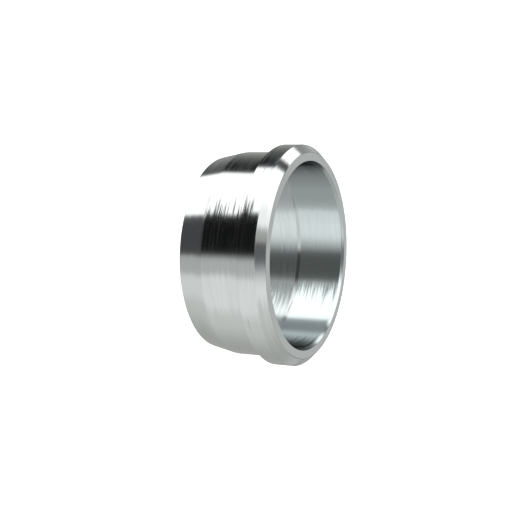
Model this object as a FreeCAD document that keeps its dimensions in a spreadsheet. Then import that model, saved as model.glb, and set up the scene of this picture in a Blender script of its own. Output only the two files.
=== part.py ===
"""Compression cutting ring for an 18 mm tube, turned from one piece of steel.

The ring stands on the flat end of its nose. +Z runs along the tube axis from the nose to the
collar, and the origin is the centre of the nose's end face. Sizes are in millimetres and
degrees, and live in the sheet "Sizes".
"""

import FreeCAD
import Part
import enum
import math
import os
import sys

import Sketcher

# Alias, value and meaning of each driving dimension.
SIZES = [
    ("tube_diameter", 18.0, "outside diameter of the tube that the ring grips"),
    ("grip_clearance", 0.1, "gripping bore over the tube, on diameter"),
    ("guide_clearance", 0.3, "guide bore over the tube, on diameter"),
    ("ring_length", 9.3, "nose end to back face"),
    ("body_wall", 1.2, "gripping bore to the plain cylinder behind the nose"),
    ("nose_length", 2.5, "cone that seats in the fitting body"),
    ("nose_half_angle", 12.0, "nose cone against the axis: a 24 degree seat"),
    ("nose_radius", 0.12, "rounded outer corner of the nose end"),
    ("collar_height", 0.75, "plain cylinder to the collar's land"),
    ("collar_length", 2.92, "foot of the shoulder to the back face"),
    ("shoulder_half_angle", 70.0, "shoulder cone against the axis"),
    ("root_radius", 0.15, "fillet at the foot of the shoulder"),
    ("shoulder_radius", 0.1, "rounded corner between shoulder and land"),
    ("back_chamfer", 0.79, "45 degree cone that the nut presses on"),
    ("guide_length", 4.95, "back face to the step inside"),
    ("step_length", 0.35, "cone from the guide bore to the gripping bore"),
    ("mouth_chamfer", 0.25, "45 degree lead-in for the tube"),
    ("edge_width", 0.25, "cutting edge at the nose, along the axis"),
    ("relief_width", 0.2, "floor of the relief behind the cutting edge"),
    ("relief_depth", 0.15, "relief below the gripping bore"),
    ("relief_run_out", 0.2, "slope from the relief back to the bore"),
]

# Radii and heights that more than one corner reads, as expressions of the sheet.
GRIP_RADIUS = "(Sizes.tube_diameter + Sizes.grip_clearance) / 2"
GUIDE_RADIUS = "(Sizes.tube_diameter + Sizes.guide_clearance) / 2"
BODY_RADIUS = GRIP_RADIUS + " + Sizes.body_wall"
NOSE_RADIUS = BODY_RADIUS + " - Sizes.nose_length * tan(Sizes.nose_half_angle)"
COLLAR_RADIUS = BODY_RADIUS + " + Sizes.collar_height"
BACK_HEIGHT = "Sizes.ring_length"
FOOT_HEIGHT = "Sizes.ring_length - Sizes.collar_length"
LAND_HEIGHT = FOOT_HEIGHT + " + Sizes.collar_height / tan(Sizes.shoulder_half_angle)"
STEP_START = "Sizes.ring_length - Sizes.guide_length"
STEP_END = STEP_START + " - Sizes.step_length"
RELIEF_RADIUS = GRIP_RADIUS + " + Sizes.relief_depth"
RELIEF_FLOOR_END = "Sizes.edge_width + Sizes.relief_width"
RELIEF_END = RELIEF_FLOOR_END + " + Sizes.relief_run_out"

# Each section is a closed outline, given corner by corner. A corner has a name, a radius from
# the axis, a height above the nose end, and the radius that rounds it, if any.
BLANK_SECTION = [
    ("nose_inner", GRIP_RADIUS, "0", None),
    ("nose_outer", NOSE_RADIUS, "0", "Sizes.nose_radius"),
    ("nose_root", BODY_RADIUS, "Sizes.nose_length", None),
    ("shoulder_foot", BODY_RADIUS, FOOT_HEIGHT, "Sizes.root_radius"),
    ("shoulder_top", COLLAR_RADIUS, LAND_HEIGHT, "Sizes.shoulder_radius"),
    ("back_outer", COLLAR_RADIUS, BACK_HEIGHT, None),
    ("back_inner", GRIP_RADIUS, BACK_HEIGHT, None),
]
GUIDE_SECTION = [
    ("back_centre", "0", BACK_HEIGHT, None),
    ("mouth", GUIDE_RADIUS, BACK_HEIGHT, None),
    ("step_start", GUIDE_RADIUS, STEP_START, None),
    ("step_end", GRIP_RADIUS, STEP_END, None),
    ("step_centre", "0", STEP_END, None),
]
RELIEF_SECTION = [
    ("edge_centre", "0", "Sizes.edge_width", None),
    ("edge_wall", RELIEF_RADIUS, "Sizes.edge_width", None),
    ("floor_end", RELIEF_RADIUS, RELIEF_FLOOR_END, None),
    ("run_out_end", GRIP_RADIUS, RELIEF_END, None),
    ("run_out_centre", "0", RELIEF_END, None),
]

FIND_TOLERANCE = 1e-4


class SketchAxis(enum.IntEnum):
    """The sketcher's numbers for a sketch's own two axes."""

    HORIZONTAL = -1
    VERTICAL = -2


class End(enum.IntEnum):
    """The sketcher's numbers for the two ends of a line or an arc."""

    START = 1
    FINISH = 2


# A sketch's origin is the start of its horizontal axis.
ORIGIN = (SketchAxis.HORIZONTAL, End.START)


def make_sheet(doc):
    """Puts every driving dimension into one sheet, as a plain number with an alias."""
    sheet = doc.addObject("Spreadsheet::Sheet", "Sizes")
    for row, (alias, value, meaning) in enumerate(SIZES, start=1):
        sheet.set(f"A{row}", alias)
        sheet.set(f"B{row}", str(value))
        sheet.set(f"C{row}", meaning)
        sheet.setAlias(f"B{row}", alias)
    doc.recompute()
    return sheet


def origin_feature(body, role):
    """Finds an axis or a plane of the body's own origin by its role."""
    return next(item for item in body.Origin.OriginFeatures if item.Role == role)


def corner_arc(before, corner, after, radius):
    """Works out the arc that rounds a corner between two straight lines.

    Returns the arc, where it starts and ends along the outline, and whether the outline
    turns left there, because a sketch's arcs always run counter-clockwise.
    """
    incoming = (before - corner).normalize()
    outgoing = (after - corner).normalize()
    half_angle = incoming.getAngle(outgoing) / 2
    trim = radius / math.tan(half_angle)
    first = corner + incoming * trim
    last = corner + outgoing * trim
    middle = (incoming + outgoing).normalize()
    centre = corner + middle * (radius / math.sin(half_angle))
    turns_left = outgoing.cross(incoming).z > 0
    spokes = [first - centre, last - centre]
    if not turns_left:
        spokes.reverse()
    start, end = (math.atan2(spoke.y, spoke.x) for spoke in spokes)
    circle = Part.Circle(centre, FreeCAD.Vector(0, 0, 1), radius)
    return Part.ArcOfCircle(circle, start, end), first, last, turns_left


def add_dimension(sketch, kind, first, second, value, name, expression):
    """Adds a named dimension to a sketch, tied to an expression of the sheet."""
    number = sketch.addConstraint(Sketcher.Constraint(kind, *first, *second, value))
    sketch.renameConstraint(number, name)
    sketch.setExpression("Constraints." + name, expression)


def fix_corner(sketch, line, point, place, corner, before):
    """Fixes one corner of an outline by its radius and its height.

    A corner that shares its radius or its height with the one before it is held by a
    vertical or a horizontal line between them. One on an axis is held on that axis. Any
    other gets a named dimension that follows its expression.
    """
    name, radius, height, _ = corner
    if before and radius == before[1]:
        sketch.addConstraint(Sketcher.Constraint("Vertical", line - 1))
    elif radius == "0":
        sketch.addConstraint(Sketcher.Constraint("PointOnObject", *point, SketchAxis.VERTICAL))
    else:
        add_dimension(sketch, "DistanceX", ORIGIN, point, place.x,
                      name + "_radius", radius)
    if before and height == before[2]:
        sketch.addConstraint(Sketcher.Constraint("Horizontal", line - 1))
    elif height == "0":
        sketch.addConstraint(Sketcher.Constraint("PointOnObject", *point, SketchAxis.HORIZONTAL))
    else:
        add_dimension(sketch, "DistanceY", ORIGIN, point, place.y,
                      name + "_height", height)


def draw_section(body, sheet, name, section):
    """Draws a closed, fully constrained outline on the body's XZ plane.

    Line i runs from corner i to the next. A sharp corner joins its two lines. A rounded one
    has an arc tangent to both, and a construction point where they would meet.
    """
    sketch = body.newObject("Sketcher::SketchObject", name)
    sketch.AttachmentSupport = [(origin_feature(body, "XZ_Plane"), "")]
    sketch.MapMode = "FlatFace"
    count = len(section)
    places = [
        FreeCAD.Vector(sheet.evalExpression(radius), sheet.evalExpression(height), 0)
        for _, radius, height, _ in section
    ]
    arrivals = list(places)
    departures = list(places)
    arcs = {}
    for index, (_, _, _, rounding) in enumerate(section):
        if rounding:
            arc, arrivals[index], departures[index], turns_left = corner_arc(
                places[index - 1], places[index], places[(index + 1) % count],
                sheet.evalExpression(rounding))
            arcs[index] = (arc, turns_left)
    for index in range(count):
        line = Part.LineSegment(departures[index], arrivals[(index + 1) % count])
        sketch.addGeometry(line, False)
    for index, corner in enumerate(section):
        arriving = (index - 1) % count
        if index in arcs:
            arc, turns_left = arcs[index]
            ends = (End.START, End.FINISH) if turns_left else (End.FINISH, End.START)
            rounded = sketch.addGeometry(arc, False)
            point = (sketch.addGeometry(Part.Point(places[index]), True), End.START)
            sketch.addConstraint(
                Sketcher.Constraint("Tangent", arriving, End.FINISH, rounded, ends[0]))
            sketch.addConstraint(
                Sketcher.Constraint("Tangent", rounded, ends[1], index, End.START))
            sketch.addConstraint(Sketcher.Constraint("PointOnObject", *point, arriving))
            sketch.addConstraint(Sketcher.Constraint("PointOnObject", *point, index))
            number = sketch.addConstraint(Sketcher.Constraint("Radius", rounded, arc.Radius))
            sketch.renameConstraint(number, corner[0] + "_rounding")
            sketch.setExpression("Constraints." + corner[0] + "_rounding", corner[3])
        else:
            point = (index, End.START)
            sketch.addConstraint(
                Sketcher.Constraint("Coincident", arriving, End.FINISH, *point))
        fix_corner(sketch, index, point, places[index], corner,
                   section[index - 1] if index else None)
    return sketch


def turn(body, kind, name, sketch):
    """Turns a section once round the Z axis, to add metal or to cut it away."""
    feature = body.newObject(kind, name)
    feature.Profile = sketch
    feature.ReferenceAxis = (origin_feature(body, "Z_Axis"), [""])
    feature.Angle = 360.0
    return feature


def round_edge(feature, sheet, radius, height):
    """Names the circular edge of a feature that has this radius and this height."""
    wanted_radius = sheet.evalExpression(radius)
    wanted_height = sheet.evalExpression(height)
    for number, edge in enumerate(feature.Shape.Edges, start=1):
        curve = edge.Curve
        if not isinstance(curve, Part.Circle):
            continue
        radius_gap = abs(curve.Radius - wanted_radius)
        height_gap = abs(curve.Center.z - wanted_height)
        if max(radius_gap, height_gap) < FIND_TOLERANCE:
            return f"Edge{number}"
    raise ValueError(f"{feature.Name} has no edge at radius {radius}, height {height}")


def bevel(body, sheet, name, size, radius, height):
    """Adds a 45 degree chamfer on one circular edge of the body's last feature."""
    body.Document.recompute()
    base = body.Tip
    chamfer = body.newObject("PartDesign::Chamfer", name)
    chamfer.Base = (base, [round_edge(base, sheet, radius, height)])
    chamfer.setExpression("Size", size)
    return chamfer


def make_ring(doc, sheet):
    """Models the ring in the order in which it is turned, bored and chamfered."""
    body = doc.addObject("PartDesign::Body", "cutting_ring")
    body.Label = "cutting_ring"
    body.Placement = FreeCAD.Placement()
    turn(body, "PartDesign::Revolution", "turned_blank",
         draw_section(body, sheet, "blank_section", BLANK_SECTION))
    turn(body, "PartDesign::Groove", "guide_bore",
         draw_section(body, sheet, "guide_section", GUIDE_SECTION))
    turn(body, "PartDesign::Groove", "edge_relief",
         draw_section(body, sheet, "relief_section", RELIEF_SECTION))
    bevel(body, sheet, "nut_cone", "Sizes.back_chamfer", COLLAR_RADIUS, BACK_HEIGHT)
    bevel(body, sheet, "tube_lead_in", "Sizes.mouth_chamfer", GUIDE_RADIUS, BACK_HEIGHT)
    doc.recompute()
    return body


def check_document(doc, bodies):
    """Stops the script if a feature failed or a sub-part isn't one valid solid."""
    for item in doc.Objects:
        if "Invalid" in item.State or "Error" in item.State:
            sys.exit(f"{item.Name} failed: {item.State}")
    for body in bodies:
        if body.Shape.isNull() or not body.Shape.isValid() or len(body.Shape.Solids) != 1:
            sys.exit(f"{body.Label} isn't one valid solid")


def main():
    """Builds the ring and writes it to parts/."""
    doc = FreeCAD.newDocument("compression_cutting_ring")
    sheet = make_sheet(doc)
    bodies = [make_ring(doc, sheet)]
    check_document(doc, bodies)
    os.makedirs("parts", exist_ok=True)
    for body in bodies:
        body.Shape.exportStep(os.path.join("parts", body.Label + ".step"))
        box = body.Shape.BoundBox
        print(f"{body.Label}: volume {body.Shape.Volume:.3f} mm3,"
              f" {box.XLength:.3f} x {box.YLength:.3f} x {box.ZLength:.3f} mm")


main()
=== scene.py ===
"""Compression cutting ring: one turned and zinc plated steel ring that stands on its nose.

The ring is one closed lathe surface, made finer than the CAD solid that it stands for, with its
small edge radii and the fine lines that the turning tool left. The camera looks at its back face
from above and is rolled, so the ring's axis lies nearly level in the picture.
"""

import logging
import math
from dataclasses import dataclass
from enum import Enum

import bpy
import numpy as np
from mathutils import Matrix, Vector

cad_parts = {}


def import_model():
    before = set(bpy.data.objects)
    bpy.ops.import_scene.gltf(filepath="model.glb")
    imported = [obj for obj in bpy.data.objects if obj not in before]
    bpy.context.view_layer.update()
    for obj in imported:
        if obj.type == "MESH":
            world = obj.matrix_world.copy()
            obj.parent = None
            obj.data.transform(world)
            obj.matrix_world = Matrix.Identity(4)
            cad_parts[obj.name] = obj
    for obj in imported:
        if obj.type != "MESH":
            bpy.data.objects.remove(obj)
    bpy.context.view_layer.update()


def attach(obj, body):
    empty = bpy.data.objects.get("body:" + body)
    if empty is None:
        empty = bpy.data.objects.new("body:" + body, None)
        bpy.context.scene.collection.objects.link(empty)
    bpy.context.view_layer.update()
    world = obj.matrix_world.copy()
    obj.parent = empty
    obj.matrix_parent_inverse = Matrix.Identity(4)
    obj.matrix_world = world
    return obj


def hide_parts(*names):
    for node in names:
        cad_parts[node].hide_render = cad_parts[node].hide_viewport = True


MM = 0.001
WHITE = "FFFFFF"
SOFTBOX_LEVEL = 1.7
WINDOW_LEVEL = 1.6
LIT_CARD_LEVEL = 1.1
FULL_TURN = 360.0
LINE_SEED = 3.0
WAVE_SEED = 57.0
log = logging.getLogger("cutting_ring")


def linear(hex_colour: str) -> tuple[float, float, float, float]:
    """Turns a written sRGB colour into the linear one that a shader socket takes.

    Args:
        hex_colour: six hex digits, such as "D6D8D8".

    Returns:
        Red, green, blue and an alpha of 1.
    """
    written = [int(hex_colour[at:at + 2], 16) / 255 for at in (0, 2, 4)]
    # The sRGB standard's own curve: straight near black, a power above it.
    red, green, blue = (
        part / 12.92 if part <= 0.04045 else ((part + 0.055) / 1.055) ** 2.4 for part in written
    )
    return red, green, blue, 1.0


def add_node(
    tree: bpy.types.NodeTree,
    kind: str,
    settings: dict[str, object] | None = None,
    inputs: dict[int | str, object] | None = None,
) -> bpy.types.Node:
    """Adds a node with its settings, values and links.

    Args:
        tree: the tree that the node joins.
        kind: the node's type name, such as "ShaderNodeMath".
        settings: the node's own properties by name.
        inputs: a value, or a socket to link from, for inputs by name or number.

    Returns:
        The new node.
    """
    node = tree.nodes.new(kind)
    for name, value in (settings or {}).items():
        setattr(node, name, value)
    for name, value in (inputs or {}).items():
        if isinstance(value, bpy.types.NodeSocket):
            tree.links.new(value, node.inputs[name])
        else:
            node.inputs[name].default_value = value
    return node


def laid_over(
    tree: bpy.types.NodeTree, cover: object, below: object, above: object
) -> bpy.types.NodeSocket:
    """Lays one colour over another.

    Args:
        tree: the tree that the node joins.
        cover: how much of the lower colour is covered, from 0 to 1.
        below: the lower colour, or its socket.
        above: the upper colour, or its socket.

    Returns:
        The mixed colour, which may be brighter than 1.
    """
    # A Mix node's colours are its inputs 6 and 7, and their mix is its output 2.
    layer = add_node(
        tree,
        "ShaderNodeMix",
        {"data_type": "RGBA", "clamp_result": False},
        {0: cover, 6: below, 7: above},
    )
    return layer.outputs[2]


class Sums:
    """Writes sums as Math nodes in one tree, so that a formula reads as one line."""

    def __init__(self, tree: bpy.types.NodeTree) -> None:
        """Keeps the tree that the nodes join."""
        self.tree = tree

    def __call__(self, operation: str, *values: object) -> bpy.types.NodeSocket:
        """Adds one Math node and gives its result."""
        node = add_node(
            self.tree, "ShaderNodeMath", {"operation": operation}, dict(enumerate(values))
        )
        return node.outputs[0]

    def fade(self, value: object, start: float, end: float) -> bpy.types.NodeSocket:
        """Rises smoothly from 0 where the value is start to 1 where it is end."""
        node = add_node(
            self.tree,
            "ShaderNodeMapRange",
            {"interpolation_type": "SMOOTHSTEP"},
            {"Value": value, "From Min": start, "From Max": end, "To Min": 0.0, "To Max": 1.0},
        )
        return node.outputs["Result"]


class Side(Enum):
    """Which of the ring's finishes a run of its outline takes.

    The bore has two: the wider guide behind the step, and the grip next to the nose.
    """

    OUTSIDE = 0
    GUIDE = 1
    GRIP = 2


@dataclass(frozen=True)
class Corner:
    """One corner of the ring's section, in millimetres.

    The side is the finish of the straight run that leaves the corner.
    """

    name: str
    radius: float
    height: float
    rounding: float
    side: Side


@dataclass(frozen=True)
class Outline:
    """The ring's section with its corners rounded, as one array value per point.

    Distances are in millimetres. The normals point out of the metal. The side belongs to the
    run from each point to the next.
    """

    radius: np.ndarray
    height: np.ndarray
    normal_out: np.ndarray
    normal_up: np.ndarray
    side: np.ndarray

    def travelled(self) -> np.ndarray:
        """The distance along the closed outline, with the whole way round as the last value."""
        steps = np.hypot(
            np.roll(self.radius, -1) - self.radius, np.roll(self.height, -1) - self.height
        )
        return np.concatenate([[0.0], np.cumsum(steps)])


@dataclass(frozen=True)
class TurnedZinc:
    """Bright zinc plating on turned steel, as a metal that keeps its turning lines.

    The tool leaves a fine screw of lines round the ring. Their flanks tip the surface along
    the outline only, so a reflection keeps its edge round the ring and frays along it. The
    plating is thin, even and a little blue.

    Attributes:
        name: the material's name.
        colour: the plating's own colour, sRGB hex.
        roughness: of the surface between the lines.
        stretch: how much more a reflection spreads across the lines than along them.
        line_spacing: of the lines that show, mm. The real ones are 0.05 to 0.1 mm, finer than
            a pixel of the picture, and are drawn a little coarser to show at all.
        line_slope: how far the lines' flanks tip, as a slope.
        wave_spacing: of the slower waves that the tool leaves, mm.
        wave_slope: how far the waves' flanks tip, as a slope.
        drift: the length round the ring over which a line's depth changes, mm.
        flank: the mean slope of lines that a boring tool leaves one-sided, like saw teeth.
        glancing_shade_tint: the tint of a glancing reflection, sRGB hex. In the bore it is dark,
        a painted shade that stands in for the shade of the bore's own walls, which a glancing
        ray would meet many times before it leaves.
        noise_low: the noise value that tips a flank fully one way. The noise keeps to about
            0.5 with 0.12 either way.
        noise_high: the noise value that tips it fully the other way.
    """

    name: str
    colour: str
    roughness: float
    stretch: float
    line_spacing: float
    line_slope: float
    wave_spacing: float
    wave_slope: float
    drift: float = 6.0
    flank: float = 0.0
    glancing_shade_tint: str = WHITE
    noise_low: float = 0.3
    noise_high: float = 0.7

    def tipping(
        self, tree: bpy.types.NodeTree, along: object, spacing: float, slope: float, seed: float
    ) -> bpy.types.NodeSocket:
        """Gives the slope of one set of lines: noise along the outline, slow round the ring.

        Args:
            tree: the material's tree.
            along: the distance along the outline, mm.
            spacing: of the lines, mm.
            slope: how far their flanks tip at most.
            seed: where in the noise they begin, so that no two sets are alike.

        Returns:
            The slope, from minus to plus the given one.
        """
        sums = Sums(tree)
        place = add_node(tree, "ShaderNodeTexCoord").outputs["Object"]
        split = add_node(tree, "ShaderNodeSeparateXYZ", inputs={0: place})
        at = add_node(
            tree,
            "ShaderNodeCombineXYZ",
            inputs={
                0: sums("MULTIPLY", split.outputs[0], 1 / (self.drift * MM)),
                1: sums("MULTIPLY", split.outputs[1], 1 / (self.drift * MM)),
                2: sums("MULTIPLY_ADD", along, 1 / spacing, seed),
            },
        ).outputs[0]
        noise = add_node(
            tree,
            "ShaderNodeTexNoise",
            {"noise_dimensions": "3D"},
            {"Vector": at, "Scale": 1.0, "Detail": 2.0, "Roughness": 0.6},
        )
        # The noise is spread over 0 to 1 and held there, so no line tips further than its slope.
        spread = sums.fade(noise.outputs[0], self.noise_low, self.noise_high)
        return sums("MULTIPLY_ADD", spread, 2 * slope, -slope)

    def material(self, outline_length: float) -> bpy.types.Material:
        """Builds the material.

        Args:
            outline_length: the whole way round the ring's section, mm, which is 1 in V.

        Returns:
            The material, which reads the ring's own UV map and Object coordinates.
        """
        material = bpy.data.materials.new(self.name)
        material.use_nodes = True
        tree = material.node_tree
        sums = Sums(tree)
        uv = add_node(tree, "ShaderNodeUVMap", {"uv_map": "turning"})
        across = add_node(tree, "ShaderNodeSeparateXYZ", inputs={0: uv.outputs[0]}).outputs[1]
        along = sums("MULTIPLY", across, outline_length)
        lines = self.tipping(tree, along, self.line_spacing, self.line_slope, LINE_SEED)
        waves = self.tipping(tree, along, self.wave_spacing, self.wave_slope, WAVE_SEED)
        slope = sums("ADD", sums("ADD", lines, waves), self.flank)

        # The normal tips along the outline: N + slope * (N x round), where round is the
        # direction round the axis, (-y, x, 0).
        place = add_node(tree, "ShaderNodeTexCoord").outputs["Object"]
        split = add_node(tree, "ShaderNodeSeparateXYZ", inputs={0: place})
        around = add_node(
            tree,
            "ShaderNodeCombineXYZ",
            inputs={0: sums("MULTIPLY", split.outputs[1], -1.0), 1: split.outputs[0], 2: 0.0},
        ).outputs[0]
        around = add_node(
            tree, "ShaderNodeVectorMath", {"operation": "NORMALIZE"}, {0: around}
        ).outputs[0]
        normal = add_node(tree, "ShaderNodeNewGeometry").outputs["Normal"]
        outward = add_node(
            tree, "ShaderNodeVectorMath", {"operation": "CROSS_PRODUCT"}, {0: normal, 1: around}
        ).outputs[0]
        tipped = add_node(
            tree,
            "ShaderNodeVectorMath",
            {"operation": "MULTIPLY_ADD"},
            {0: outward, 1: slope, 2: normal},
        ).outputs[0]
        tipped = add_node(
            tree, "ShaderNodeVectorMath", {"operation": "NORMALIZE"}, {0: tipped}
        ).outputs[0]
        round_ring = add_node(
            tree, "ShaderNodeTangent", {"direction_type": "RADIAL", "axis": "Z"}
        ).outputs[0]
        shader = tree.nodes["Principled BSDF"]
        shader.inputs["Base Color"].default_value = linear(self.colour)
        shader.inputs["Metallic"].default_value = 1.0
        # Painted shade: a dark tint here darkens the bore's glancing reflections, in place of the
        # shade of its own walls.
        shader.inputs["Specular Tint"].default_value = linear(self.glancing_shade_tint)
        shader.inputs["Roughness"].default_value = self.roughness
        shader.inputs["Anisotropic"].default_value = self.stretch
        tree.links.new(tipped, shader.inputs["Normal"])
        tree.links.new(round_ring, shader.inputs["Tangent"])
        return material


@dataclass
class CuttingRing:
    """The turned ring, with the source's sizes in millimetres and degrees.

    The axis is the frame's Z axis, the nose's flat end is at height 0 and the back face is at
    the top.

    The radii of the nose's blend, the shoulder and the back edge are the scene's own, as the
    photograph shows them, and so is the one that breaks every other sharp edge.
    """

    tube_diameter: float = 18.0
    grip_clearance: float = 0.1
    guide_clearance: float = 0.3
    ring_length: float = 9.3
    body_wall: float = 1.2
    nose_length: float = 2.5
    nose_half_angle: float = 12.0
    nose_radius: float = 0.12
    collar_height: float = 0.75
    collar_length: float = 2.92
    shoulder_half_angle: float = 70.0
    back_chamfer: float = 0.79
    guide_length: float = 4.95
    step_length: float = 0.35
    mouth_chamfer: float = 0.25
    edge_width: float = 0.25
    relief_width: float = 0.2
    relief_depth: float = 0.15
    relief_run_out: float = 0.2
    nose_blend: float = 2.4
    shoulder_foot_radius: float = 0.04
    shoulder_top_radius: float = 0.02
    back_edge_radius: float = 0.18
    broken_edge: float = 0.05
    segments: int = 480
    arc_steps: int = 6

    def corners(self) -> list[Corner]:
        """Lists the section's corners, from the bore's nose end out, up, in and down again."""
        grip = (self.tube_diameter + self.grip_clearance) / 2
        guide = (self.tube_diameter + self.guide_clearance) / 2
        body = grip + self.body_wall
        collar = body + self.collar_height
        nose = body - self.nose_length * math.tan(math.radians(self.nose_half_angle))
        foot = self.ring_length - self.collar_length
        rise = self.collar_height / math.tan(math.radians(self.shoulder_half_angle))
        top = self.ring_length
        step = top - self.guide_length
        floor_end = self.edge_width + self.relief_width
        edge = self.broken_edge
        # The step's cone is short and smooth, so it has the outside's finish.
        outside, guide_bore, grip_bore = Side.OUTSIDE, Side.GUIDE, Side.GRIP
        return [
            Corner("nose_inner", grip, 0.0, edge, outside),
            Corner("nose_outer", nose, 0.0, self.nose_radius, outside),
            Corner("nose_root", body, self.nose_length, self.nose_blend, outside),
            Corner("shoulder_foot", body, foot, self.shoulder_foot_radius, outside),
            Corner("shoulder_top", collar, foot + rise, self.shoulder_top_radius, outside),
            Corner("back_chamfer_foot", collar, top - self.back_chamfer, edge, outside),
            Corner("back_outer", collar - self.back_chamfer, top, self.back_edge_radius, outside),
            Corner("mouth_outer", guide + self.mouth_chamfer, top, edge, guide_bore),
            Corner("mouth_inner", guide, top - self.mouth_chamfer, edge, guide_bore),
            Corner("step_start", guide, step, edge, outside),
            Corner("step_end", grip, step - self.step_length, edge, grip_bore),
            Corner("run_out_end", grip, floor_end + self.relief_run_out, edge / 2, grip_bore),
            Corner("floor_end", grip + self.relief_depth, floor_end, edge / 2, grip_bore),
            Corner("edge_wall", grip + self.relief_depth, self.edge_width, edge / 2, grip_bore),
            Corner("edge_top", grip, self.edge_width, edge / 2, grip_bore),
        ]

    def outline(self) -> Outline:
        """Rounds every corner with an arc that touches both of its straight runs.

        The arc's normal turns evenly from that of the run before to that of the run after.
        Its centre lies inside the angle by the rounding over the cosine of half the turn, so
        each point is the centre plus the rounding times the normal, taken with the turn's sign.
        """
        corners = self.corners()
        place = np.array([(c.radius, c.height) for c in corners])
        rounding = np.array([c.rounding for c in corners])
        side = np.array([c.side.value for c in corners])
        after = np.roll(place, -1, axis=0) - place
        after /= np.linalg.norm(after, axis=1, keepdims=True)
        before = np.roll(after, 1, axis=0)
        # A run's outward normal is its direction turned a quarter to the right.
        heading_before = np.arctan2(before[:, 1], before[:, 0]) - np.pi / 2
        turn = np.arctan2(
            before[:, 0] * after[:, 1] - before[:, 1] * after[:, 0], np.sum(before * after, axis=1)
        )
        share = np.linspace(0.0, 1.0, self.arc_steps + 1)
        angle = heading_before[:, None] + turn[:, None] * share[None, :]
        bisector = heading_before + turn / 2
        sign = np.sign(turn)
        reach = sign * rounding / np.cos(turn / 2)
        centre = place - reach[:, None] * np.stack([np.cos(bisector), np.sin(bisector)], axis=1)
        normal = np.stack([np.cos(angle), np.sin(angle)], axis=2)
        points = centre[:, None, :] + (sign * rounding)[:, None, None] * normal
        # The corner's own arc up to its middle has the finish of the run before it.
        finish = np.repeat(side[:, None], self.arc_steps + 1, axis=1)
        finish[:, : self.arc_steps // 2] = np.roll(side, 1)[:, None]
        flat_points = points.reshape(-1, 2)
        flat_normals = normal.reshape(-1, 2)
        return Outline(
            flat_points[:, 0], flat_points[:, 1], flat_normals[:, 0], flat_normals[:, 1],
            finish.reshape(-1),
        )

    def build(self) -> bpy.types.Object:
        """Turns the outline round the axis into one closed surface.

        A point is (radius cos a, radius sin a, height), with a going round in even steps. The
        normals are the outline's own, so a reflection stays true along each straight run.

        Returns:
            The ring, with its UV map: U once round the ring, V once round the section.
        """
        outline = self.outline()
        count = len(outline.radius)
        angle = np.arange(self.segments) * (2 * np.pi / self.segments)
        cosine, sine = np.cos(angle)[None, :], np.sin(angle)[None, :]

        def swept(out: np.ndarray, up: np.ndarray) -> np.ndarray:
            """Carries values in the section's plane to every angle."""
            grid = np.stack(
                [out[:, None] * cosine, out[:, None] * sine, up[:, None] + 0 * cosine], axis=2
            )
            return grid.reshape(-1, 3)

        points = swept(outline.radius, outline.height) * MM
        normals = swept(outline.normal_out, outline.normal_up)
        row = np.arange(count)[:, None]
        column = np.arange(self.segments)[None, :]
        next_row, next_column = (row + 1) % count, (column + 1) % self.segments
        quads = np.stack(
            [
                row * self.segments + column,
                row * self.segments + next_column,
                next_row * self.segments + next_column,
                next_row * self.segments + column,
            ],
            axis=2,
        ).reshape(-1, 4)

        mesh = bpy.data.meshes.new("turned_ring")
        mesh.from_pydata(points, [], quads.tolist())
        travelled = outline.travelled()
        turned = column / self.segments + 0 * row
        next_turned = turned + 1 / self.segments
        here = travelled[:-1, None] / travelled[-1] + 0 * column
        there = travelled[1:, None] / travelled[-1] + 0 * column
        corners_uv = np.stack(
            [turned, here, next_turned, here, next_turned, there, turned, there], axis=2
        )
        mesh.uv_layers.new(name="turning").data.foreach_set("uv", corners_uv.reshape(-1))
        finish = np.repeat(outline.side, self.segments).astype(np.int32)
        mesh.polygons.foreach_set("material_index", finish)
        mesh.shade_smooth()
        mesh.normals_split_custom_set_from_vertices(normals.tolist())
        mesh.update()
        ring = bpy.data.objects.new("turned_ring", mesh)
        bpy.context.scene.collection.objects.link(ring)
        return ring

    def dress(self, ring: bpy.types.Object) -> None:
        """Gives the outside and the bore their finishes, in the order of the sides."""
        length = float(self.outline().travelled()[-1])
        finishes = (
            TurnedZinc(
                name="zinc_plated_turned_outside", colour="D6DAD9", roughness=0.12, stretch=0.5,
                line_spacing=0.16, line_slope=0.055, wave_spacing=0.6, wave_slope=0.015,
            ),
            # Both bore finishes have a near-black glancing tint, which is painted shade for their
            # own walls.
            TurnedZinc(
                name="zinc_plated_bored_guide", colour="D0D9D9", roughness=0.16, stretch=0.5,
                line_spacing=0.16, line_slope=0.038, wave_spacing=0.6, wave_slope=0.01,
                flank=-0.12, glancing_shade_tint="0C0C0C",
            ),
            TurnedZinc(
                name="zinc_plated_bored_grip", colour="D5DCDC", roughness=0.2, stretch=0.4,
                line_spacing=0.2, line_slope=0.04, wave_spacing=0.6, wave_slope=0.01,
                flank=-0.2, glancing_shade_tint="0C0C0C",
            ),
        )
        for finish in finishes:
            ring.data.materials.append(finish.material(length))


def past(
    sums: Sums, azimuth: object, elevation: object, edge: float, lean: float
) -> bpy.types.NodeSocket:
    """How many degrees past a leaning edge a direction lies, from -180 to 180."""
    upright = sums("MULTIPLY_ADD", elevation, -lean, azimuth)
    return sums("WRAP", sums("SUBTRACT", upright, edge), FULL_TURN / 2, -FULL_TURN / 2)


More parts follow.
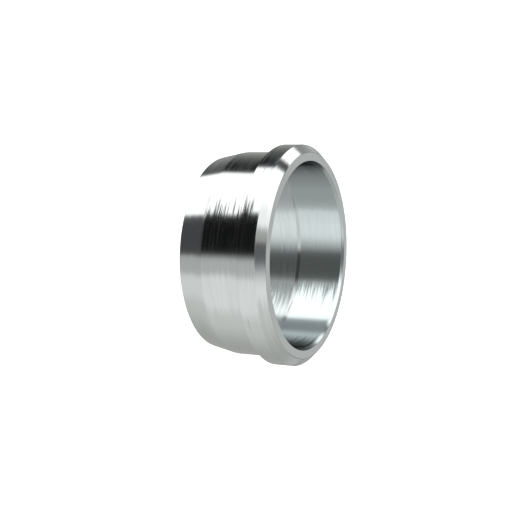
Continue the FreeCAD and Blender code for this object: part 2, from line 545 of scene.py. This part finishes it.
@dataclass(frozen=True)
class Panel:
    """One card, flag or softbox of the studio, far enough away to be only a direction.

    Azimuths go round the ring's axis in degrees, 0 on the camera's side and rising towards +X.
    Elevations are degrees above the horizon.

    Attributes:
        name: what the panel is.
        start: azimuth where it begins.
        end: azimuth where it stops.
        start_soft: width of the fade at its start.
        end_soft: width of the fade at its end.
        colour: sRGB hex.
        level: brightness, as a multiple of the colour.
        low: elevation of its lower edge.
        high: elevation of its upper edge.
        low_soft: width of the fade at its lower edge.
        high_soft: width of the fade at its upper edge.
        start_lean: degrees of azimuth by which its start shifts for each degree of elevation.
        end_lean: the same for its end.
        opacity: how much of what lies behind it the panel covers.

    A panel with no low or high reaches past the zenith or the point straight below.
    """

    name: str
    start: float
    end: float
    start_soft: float
    end_soft: float
    colour: str
    level: float = 1.0
    low: float = -120.0
    high: float = 120.0
    low_soft: float = 2.0
    high_soft: float = 2.0
    start_lean: float = 0.0
    end_lean: float = 0.0
    opacity: float = 1.0

    def mask(self, sums: Sums, azimuth: object, elevation: object) -> bpy.types.NodeSocket:
        """How much the panel covers in each direction, from 0 to its opacity."""
        low_half, high_half = self.low_soft / 2, self.high_soft / 2
        edges = [
            sums.fade(elevation, self.low - low_half, self.low + low_half),
            sums.fade(elevation, self.high + high_half, self.high - high_half),
        ]
        if self.end - self.start < FULL_TURN:
            begun = past(sums, azimuth, elevation, self.start, self.start_lean)
            ended = past(sums, azimuth, elevation, self.end, self.end_lean)
            edges.append(sums.fade(begun, -self.start_soft / 2, self.start_soft / 2))
            edges.append(sums.fade(ended, self.end_soft / 2, -self.end_soft / 2))
        mask: object = self.opacity
        for edge in edges:
            mask = sums("MULTIPLY", mask, edge)
        return mask


@dataclass(frozen=True)
class Studio:
    """The soft light: a pale room with softboxes, cards and dark flags, each only a direction.

    The camera sees the room as white. The ring mirrors the panels, and each of its surfaces
    mirrors its own band of elevations, so many panels have a lower and an upper edge.

    Attributes:
        room: the colour between the panels, sRGB hex.
        far_side: the walls, the drape and the window beyond the ring.
        near_side: the key softbox, the cards and the flags on the camera's side, and what lies
            overhead and on the table.
        bore_strips: the low panels that only the bore mirrors.
        mouth_flags: the narrow leaning flags that the chamfer at the bore's mouth mirrors.
    """

    room: str = "B2B3AF"
    far_side: tuple[Panel, ...] = (
        Panel("back wall", 138, 220, 30, 30, "C8CAC9", low=-15, low_soft=8),
        Panel("side wall", 60, 105, 4, 70, "E3E4E2"),
        Panel("floor behind", 164, 196, 30, 30, "989A99", high=-18, high_soft=6),
        Panel("dark drape", -140, -90, 67, 4, "0A0B0C"),
        Panel("drape's fold", -170, -90, 20, 4, "8A8C8D", high=-27.5, high_soft=5, opacity=0.26),
        Panel(
            "back glow", 154, 207, 8, 8, "E8EAE9",
            low=-17, high=-3, low_soft=4, high_soft=8, opacity=0.7,
        ),
        Panel("window's frame", -128, -90, 6, 6, "08090A", low=22, high=70, low_soft=6),
        Panel(
            "window", -133, -95.8, 2, 2, WHITE,
            level=WINDOW_LEVEL, low=8, high=36.5, start_lean=-0.35, end_lean=-0.85,
        ),
    )
    near_side: tuple[Panel, ...] = (
        Panel(
            "key's top", -75, 27, 4, 14, WHITE,
            level=SOFTBOX_LEVEL, low=29, low_soft=4, start_lean=-1, end_lean=-1.1,
        ),
        Panel(
            "key's middle", -83, -28, 5, 10, WHITE,
            level=SOFTBOX_LEVEL, low=-39, high=29, low_soft=4, high_soft=4, start_lean=0.63,
        ),
        Panel("card's edge", 6, 40, 10, 10, "CACCCB"),
        Panel("pale card", 17, 69, 10, 18, "FCFDFD", start_lean=-0.33),
        Panel("card's fold", 2, 80, 16, 30, "8E9090", high=-27, high_soft=12, opacity=0.12),
        Panel("black flag", -36, 5, 6, 10, "171718", high=-17.5, high_soft=3, start_lean=0.22),
        Panel(
            "flag's wing", 54, -34, 14, 4, "141416",
            low=-34, high=-27.6, low_soft=3, high_soft=3, start_lean=3.6,
        ),
        Panel("flag's foot", -40, 6, 6, 10, "424244", high=-34, high_soft=10, start_lean=0.22),
        Panel(
            "overhead flag", 20.5, -14, 3, 54, "646566",
            low=30, low_soft=20, start_lean=-0.6, end_lean=0.7,
        ),
        Panel("overhead edge", -71, -25, 32, 10, "BFC0C0", low=46, low_soft=10, opacity=0.39),
        Panel("zenith", -180, 180, 0, 0, "7C7E7F", low=77, low_soft=8, opacity=0.9),
        Panel("table haze", -180, 180, 0, 0, "9A9B9B", high=-40, high_soft=8, opacity=0.08),
        Panel("table's shade", -180, 180, 0, 0, "2A2B2B", high=-69, high_soft=8),
        Panel(
            "key's foot", -40, -10, 6, 6, WHITE,
            level=SOFTBOX_LEVEL, low=-69, high=-37, low_soft=8, high_soft=4, start_lean=1.8,
            end_lean=0.8,
        ),
    )
    bore_strips: tuple[Panel, ...] = (
        Panel(
            "strip key", -97, -36, 10, 10, WHITE,
            level=SOFTBOX_LEVEL, low=-16, high=27, low_soft=3, high_soft=4, start_lean=0.17,
        ),
        Panel(
            "strip drape", -123, -84, 17, 3, "989DA0",
            low=-21.8, high=8, high_soft=4, start_lean=0.7, end_lean=0.2,
        ),
        Panel(
            "strip glint", -117.8, -106.7, 20, 10, "E4ECEE",
            low=-21.3, high=8, high_soft=4, start_lean=0.6, end_lean=0.35,
        ),
        Panel(
            "strip side", 55, 204, 6, 16, "828383",
            low=-20, high=0, low_soft=1, high_soft=3, start_lean=-0.6, opacity=0.57,
        ),
        Panel(
            "strip dusk", 130, 210, 20, 20, "1E2022",
            low=-21, high=-16, low_soft=1, high_soft=3, opacity=0.2,
        ),
        Panel(
            "strip grain", -152, -122, 12, 4, "D8DCDC",
            low=-17.5, high=-13, low_soft=1, high_soft=3, opacity=0.32,
        ),
        Panel(
            "strip grit", -152, -122, 12, 4, "141616",
            low=-21.5, high=-17.5, low_soft=1, high_soft=1, opacity=0.42,
        ),
        Panel(
            "strip dim", -92, -36, 8, 8, "303232",
            low=-8, high=10, low_soft=3, high_soft=4, opacity=0.16,
        ),
        Panel(
            "strip gleam", 84, 97, 6, 8, "B8BBBB",
            low=-18, high=-6, low_soft=4, high_soft=4, opacity=0.5,
        ),
        Panel(
            "strip card", 26, 44, 8, 14, WHITE,
            level=LIT_CARD_LEVEL, low=-17, high=0, high_soft=3, opacity=0.6,
        ),
        Panel("strip flag", -36, 9, 16, 14, "5C5E5C", low=-18.5, high=27, high_soft=4),
        Panel(
            "strip wing", -81, -36, 14, 8, "828687",
            low=-14, high=0, high_soft=3, start_lean=-4,
        ),
        Panel(
            "strip fold", -40, 204, 10, 16, "8A8E8E",
            low=-21.5, high=-10, high_soft=10, opacity=0.14,
        ),
        Panel("strip rim", 56, 112, 12, 10, "A4A7A7", low=0.5, high=20, high_soft=4),
        Panel("strip top", 6, 62, 10, 12, "DCE0E0", low=0.5, high=27, high_soft=4, opacity=0.9),
        Panel(
            "strip shade", -48, 6, 20, 10, "2A2C2D",
            low=2, high=27, low_soft=3, high_soft=4, opacity=0.6,
        ),
    )
    mouth_flags: tuple[Panel, ...] = (
        Panel(
            "mouth flag", 160, 174, 4, 3, "1E2022",
            low=-3, high=26, low_soft=4, high_soft=6, start_lean=-0.95, end_lean=-0.95,
            opacity=0.9,
        ),
        Panel(
            "lower mouth flag", -174, -164, 3, 3, "4A4C4E",
            low=-3, high=22, low_soft=4, high_soft=4, start_lean=0.95, end_lean=0.95, opacity=0.8,
        ),
    )

    def light(self) -> None:
        """Builds the world: the room, with each panel laid over those before it."""
        world = bpy.data.worlds.new("studio")
        bpy.context.scene.world = world
        world.use_nodes = True
        tree = world.node_tree
        sums = Sums(tree)
        towards = add_node(tree, "ShaderNodeTexCoord").outputs["Generated"]
        split = add_node(tree, "ShaderNodeSeparateXYZ", inputs={0: towards})
        across, away, up = split.outputs[0], split.outputs[1], split.outputs[2]
        azimuth = sums("DEGREES", sums("ARCTAN2", across, sums("MULTIPLY", away, -1.0)))
        elevation = sums("DEGREES", sums("ARCSINE", up))
        colour: object = linear(self.room)
        for panel in self.far_side + self.near_side + self.bore_strips + self.mouth_flags:
            shade = [part * panel.level for part in linear(panel.colour)[:3]] + [1.0]
            colour = laid_over(tree, panel.mask(sums, azimuth, elevation), colour, shade)
        seen_by_camera = add_node(tree, "ShaderNodeLightPath").outputs["Is Camera Ray"]
        shown = laid_over(tree, seen_by_camera, colour, linear(WHITE))
        background = tree.nodes["Background"]
        tree.links.new(shown, background.inputs["Color"])


@dataclass(frozen=True)
class PaleTable:
    """The white table that the ring stands on, big enough to fill every view of the ring.

    Attributes:
        half_width: half of the table top's side, in metres.
        colour: the paper's own colour, sRGB hex.
        roughness: of the paper.
        glow: the white that the camera alone sees on top of the lit paper.
    """

    half_width: float = 0.8
    colour: str = "F4F4F4"
    roughness: float = 0.9
    glow: float = 0.8

    def build(self) -> bpy.types.Object:
        """Lays the table top at the ring's lowest point."""
        half = self.half_width
        corners = [(-half, -half, 0), (half, -half, 0), (half, half, 0), (-half, half, 0)]
        mesh = bpy.data.meshes.new("table")
        mesh.from_pydata(corners, [], [(0, 1, 2, 3)])
        mesh.materials.append(self.material())
        table = bpy.data.objects.new("table", mesh)
        bpy.context.scene.collection.objects.link(table)
        # The panels below the horizon stand for the table in the ring's reflections.
        table.visible_glossy = False
        return table

    def material(self) -> bpy.types.Material:
        """White paper that the camera sees as white, a little darker in the ring's shadow."""
        material = bpy.data.materials.new("white_paper")
        material.use_nodes = True
        tree = material.node_tree
        paper = tree.nodes["Principled BSDF"]
        paper.inputs["Base Color"].default_value = linear(self.colour)
        paper.inputs["Roughness"].default_value = self.roughness
        paper.inputs["Emission Color"].default_value = linear(WHITE)
        seen_by_camera = add_node(tree, "ShaderNodeLightPath").outputs["Is Camera Ray"]
        glow = Sums(tree)("MULTIPLY", seen_by_camera, self.glow)
        tree.links.new(glow, paper.inputs["Emission Strength"])
        return material


@dataclass(frozen=True)
class PhotoCamera:
    """The photograph's camera, from the fit of its outline and inner edges.

    Attributes:
        tilt: degrees between the ring's axis and the line of sight.
        roll: degrees by which the ring's axis turns down from the picture's level.
        face_at: where the centre of the back face shows, in pixels from the picture's corner.
        focal: focal length in pixels.
        pixels_per_mm: scale at the centre of the back face.
        picture: the picture's width and height in pixels.
        sensor: sensor width, mm.
        nearest: the nearest distance that the camera sees, in metres.
    """

    tilt: float = 64.176
    roll: float = 2.669
    face_at: tuple[float, float] = (309.96, 255.81)
    focal: float = 1043.9
    pixels_per_mm: float = 10.08627
    picture: float = 510.0
    sensor: float = 36.0
    nearest: float = 0.005

    def place(self, face: Vector) -> bpy.types.Object:
        """Makes the camera and puts it where the back face shows at its place.

        Args:
            face: the centre of the ring's back face, in metres.

        Returns:
            The scene's camera.
        """
        tilt, roll = math.radians(self.tilt), math.radians(self.roll)
        forward = Vector((0.0, math.sin(tilt), -math.cos(tilt)))
        upright = Vector((0.0, math.cos(tilt), math.sin(tilt)))
        side = Vector((1.0, 0.0, 0.0))
        right = math.cos(roll) * upright - math.sin(roll) * side
        down = math.sin(roll) * upright + math.cos(roll) * side
        to_mm = 1 / self.pixels_per_mm
        offset = (
            (self.face_at[0] - self.picture / 2) * to_mm * right
            + (self.face_at[1] - self.picture / 2) * to_mm * down
            + self.focal * to_mm * forward
        )
        data = bpy.data.cameras.new("photo_camera")
        data.sensor_width = self.sensor
        data.lens = self.sensor * self.focal / self.picture
        data.clip_start = self.nearest
        camera = bpy.data.objects.new("photo_camera", data)
        axes = Matrix((right, -down, -forward)).transposed()
        camera.matrix_world = Matrix.Translation(face - offset * MM) @ axes.to_4x4()
        bpy.context.scene.collection.objects.link(camera)
        bpy.context.scene.camera = camera
        return camera


def main() -> None:
    """Builds the stage and the ring, and says what was made."""
    logging.basicConfig(level=logging.INFO, format="%(message)s")
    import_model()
    bpy.context.scene.view_settings.view_transform = "Standard"

    ring_sizes = CuttingRing()
    PhotoCamera().place(Vector((0.0, 0.0, ring_sizes.ring_length * MM)))
    Studio().light()
    PaleTable().build()

    ring = ring_sizes.build()
    # The bore would mirror its own near wall several times over. The photographed one shows
    # the room's bands straight across, so the ring is left out of its own reflections.
    # The shade of the bore's walls on glancing reflections is painted into the bore's finishes
    # instead.
    ring.visible_glossy = False
    ring_sizes.dress(ring)
    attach(ring, "root")
    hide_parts("cutting_ring")
    log.info("turned_ring: %d faces", len(ring.data.polygons))


if __name__ == "__main__":
    main()
